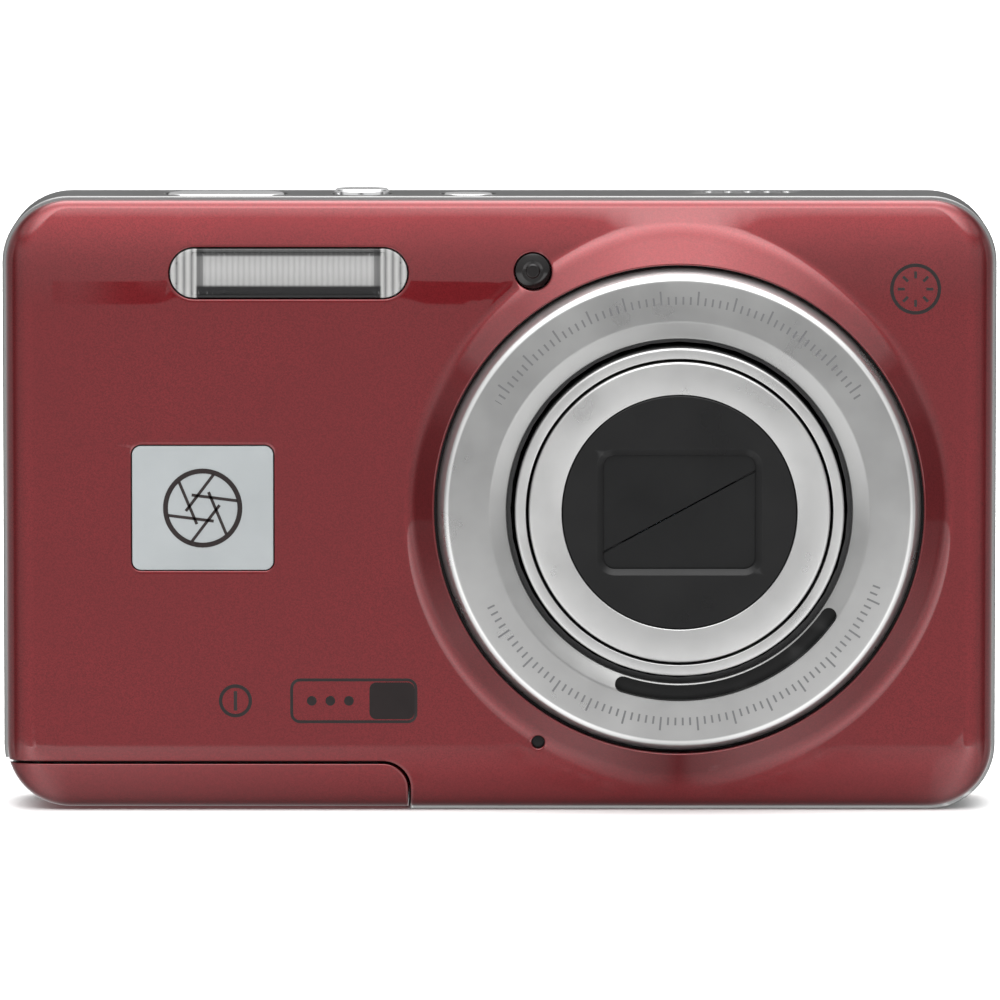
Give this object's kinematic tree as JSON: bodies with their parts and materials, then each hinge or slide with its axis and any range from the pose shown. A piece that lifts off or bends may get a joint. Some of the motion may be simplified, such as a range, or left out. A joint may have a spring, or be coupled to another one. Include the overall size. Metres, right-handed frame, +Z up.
{
  "type": "compact digital camera",
  "caption": "Slim pocket digital camera with a retracting zoom lens, folding lens cover, rear screen, keys and a battery door.",
  "frame": {"origin": "middle of the base, on the surface the camera stands on", "axes": "+X towards the lens side as seen from the front, -Y out of the lens, +Z up"},
  "size_m": [0.1016, 0.0222, 0.0636],
  "materials": {
    "red_paint": "satin metallic red under a clear coat",
    "silver_paint": "satin silver-grey paint",
    "chrome": "bright plating",
    "steel": "plain steel",
    "black_plastic": "fine moulded texture",
    "lens_metal": "satin anodised",
    "front_plate_black": "smooth black",
    "blade_black": "thin black-coated sheet",
    "screen_glass": "polished dark window",
    "clear_plastic": "clear ribbed moulding",
    "lens_glass": "coated glass",
    "lamp_plastic": "dark translucent",
    "badge_plate": "light grey plate",
    "circuit_board": "solder mask",
    "battery_wrap": "wrapped cell",
    "rubber": "soft rubber"
  },
  "bodies": {
    "camera_body": {"front_cover": "red_paint", "mid_frame": "silver_paint", "rear_cover": "red_paint", "tripod_bush": "steel", "screen_glass": "screen_glass", "screen_module": "steel", "chassis_plate": "steel", "main_board": "circuit_board", "top_switch_board": "circuit_board", "battery_box": "black_plastic", "battery": "battery_wrap", "memory_card": "black_plastic", "card_slot": "steel", "flash_window": "clear_plastic", "flash_reflector": "chrome", "flash_tube": "lens_glass", "flash_capacitor": "battery_wrap", "focus_lamp_window": "lamp_plastic", "microphone": "steel", "front_badge": "badge_plate", "speaker": "black_plastic", "usb_socket": "steel", "strap_eyelet": "steel", "screw_base_right": "steel", "screw_base_middle": "steel", "screw_right_upper": "steel", "screw_left_upper": "steel", "lens_bezel": "lens_metal", "lens_housing": "black_plastic", "zoom_motor": "steel", "guide_rod_left": "steel", "guide_rod_right": "steel", "image_sensor": "circuit_board"},
    "shutter_key": {"shutter_button": "chrome"},
    "power_key": {"power_button": "chrome"},
    "mode_key": {"mode_button": "chrome"},
    "movie_key": {"movie_button": "black_plastic"},
    "menu_key": {"menu_button": "black_plastic"},
    "playback_key": {"playback_button": "black_plastic"},
    "delete_key": {"delete_button": "black_plastic"},
    "pad_gimbal": {"dpad_gimbal": "steel"},
    "pad": {"dpad_ring": "black_plastic"},
    "set_key": {"set_button": "black_plastic"},
    "rocker": {"zoom_rocker": "black_plastic"},
    "door_slider": {"door_hinge_pin": "steel"},
    "door": {"battery_door": "red_paint"},
    "usb_flap": {"usb_cover": "rubber"},
    "barrel_outer": {"outer_barrel": "lens_metal"},
    "barrel_inner": {"inner_barrel": "lens_metal", "front_plate": "front_plate_black", "light_baffle": "black_plastic", "front_lens": "lens_glass", "lens_cell": "black_plastic", "shutter_unit": "black_plastic"},
    "upper_blade": {"blade_upper": "blade_black"},
    "lower_blade": {"blade_lower": "blade_black"},
    "cam": {"cam_ring": "black_plastic"},
    "pinion": {"motor_pinion": "steel"},
    "focus_group": {"focus_carriage": "black_plastic", "focus_lens": "lens_glass"}
  },
  "joints": [
    {"name": "lens_extend", "type": "slide", "parent": "camera_body", "child": "barrel_outer", "axis": [0, -1, 0], "range_m": [0, 0.0105]},
    {"name": "lens_telescope", "type": "slide", "parent": "barrel_outer", "child": "barrel_inner", "axis": [0, -1, 0], "range_m": [0, 0.0085]},
    {"name": "upper_blade_turn", "type": "hinge", "parent": "barrel_inner", "child": "upper_blade", "pos_m": [0.00643, -0.0101, 0.02626], "axis": [0, -1, 0], "range_deg": [0, 24.6]},
    {"name": "lower_blade_turn", "type": "hinge", "parent": "barrel_inner", "child": "lower_blade", "pos_m": [0.03017, -0.0101, 0.03634], "axis": [0, -1, 0], "range_deg": [0, 24.6]},
    {"name": "cam_turn", "type": "hinge", "parent": "camera_body", "child": "cam", "pos_m": [0.0183, 0, 0.0313], "axis": [0, 1, 0], "range_deg": [0, 45.2]},
    {"name": "pinion_turn", "type": "hinge", "parent": "camera_body", "child": "pinion", "pos_m": [0.00159, 0, 0.01825], "axis": [0, 1, 0], "range_deg": [-353.5, 0]},
    {"name": "focus_slide", "type": "slide", "parent": "camera_body", "child": "focus_group", "axis": [0, -1, 0], "range_m": [0, 0.003]},
    {"name": "shutter_press", "type": "slide", "parent": "camera_body", "child": "shutter_key", "axis": [0, 0, -1], "range_m": [0, 0.001], "stiffness_N_per_m": 250, "springref_m": -0.0003},
    {"name": "power_press", "type": "slide", "parent": "camera_body", "child": "power_key", "axis": [0, 0, -1], "range_m": [0, 0.0005], "stiffness_N_per_m": 300, "springref_m": -0.0003},
    {"name": "mode_press", "type": "slide", "parent": "camera_body", "child": "mode_key", "axis": [0, 0, -1], "range_m": [0, 0.0005], "stiffness_N_per_m": 300, "springref_m": -0.0003},
    {"name": "movie_press", "type": "slide", "parent": "camera_body", "child": "movie_key", "axis": [0, -1, 0], "range_m": [0, 0.0004], "stiffness_N_per_m": 300, "springref_m": -0.0003},
    {"name": "menu_press", "type": "slide", "parent": "camera_body", "child": "menu_key", "axis": [0, -1, 0], "range_m": [0, 0.0004], "stiffness_N_per_m": 300, "springref_m": -0.0003},
    {"name": "playback_press", "type": "slide", "parent": "camera_body", "child": "playback_key", "axis": [0, -1, 0], "range_m": [0, 0.0004], "stiffness_N_per_m": 300, "springref_m": -0.0003},
    {"name": "delete_press", "type": "slide", "parent": "camera_body", "child": "delete_key", "axis": [0, -1, 0], "range_m": [0, 0.0004], "stiffness_N_per_m": 300, "springref_m": -0.0003},
    {"name": "pad_tilt_up_down", "type": "hinge", "parent": "camera_body", "child": "pad_gimbal", "pos_m": [-0.0325, 0.0085, 0.0275], "axis": [1, 0, 0], "range_deg": [-2, 2], "stiffness_Nm_per_rad": 0.06},
    {"name": "pad_tilt_left_right", "type": "hinge", "parent": "pad_gimbal", "child": "pad", "pos_m": [-0.0325, 0.0085, 0.0275], "axis": [0, 0, 1], "range_deg": [-2, 2], "stiffness_Nm_per_rad": 0.06},
    {"name": "set_press", "type": "slide", "parent": "camera_body", "child": "set_key", "axis": [0, -1, 0], "range_m": [0, 0.0004], "stiffness_N_per_m": 300, "springref_m": -0.0003},
    {"name": "rocker_tilt", "type": "hinge", "parent": "camera_body", "child": "rocker", "pos_m": [-0.0325, 0.009, 0.053], "axis": [0, 0, 1], "range_deg": [-3, 3], "stiffness_Nm_per_rad": 0.06},
    {"name": "door_slide", "type": "slide", "parent": "camera_body", "child": "door_slider", "axis": [-1, 0, 0], "range_m": [0, 0.0025]},
    {"name": "door_swing", "type": "hinge", "parent": "door_slider", "child": "door", "pos_m": [-0.0275, 0.0052, 0.00105], "axis": [1, 0, 0], "range_deg": [0, 95]},
    {"name": "usb_cover_pull", "type": "slide", "parent": "camera_body", "child": "usb_flap", "axis": [1, 0, 0], "range_m": [0, 0.003]}
  ],
  "couplings": [
    {"joint": "lens_telescope", "follows": "lens_extend", "ratio": 0.80476},
    {"joint": "upper_blade_turn", "follows": "lens_extend", "rad_per_m": 40.724},
    {"joint": "lower_blade_turn", "follows": "lens_extend", "rad_per_m": 40.724},
    {"joint": "cam_turn", "follows": "lens_extend", "rad_per_m": 74.8},
    {"joint": "pinion_turn", "follows": "lens_extend", "rad_per_m": -585.93}
  ]
}
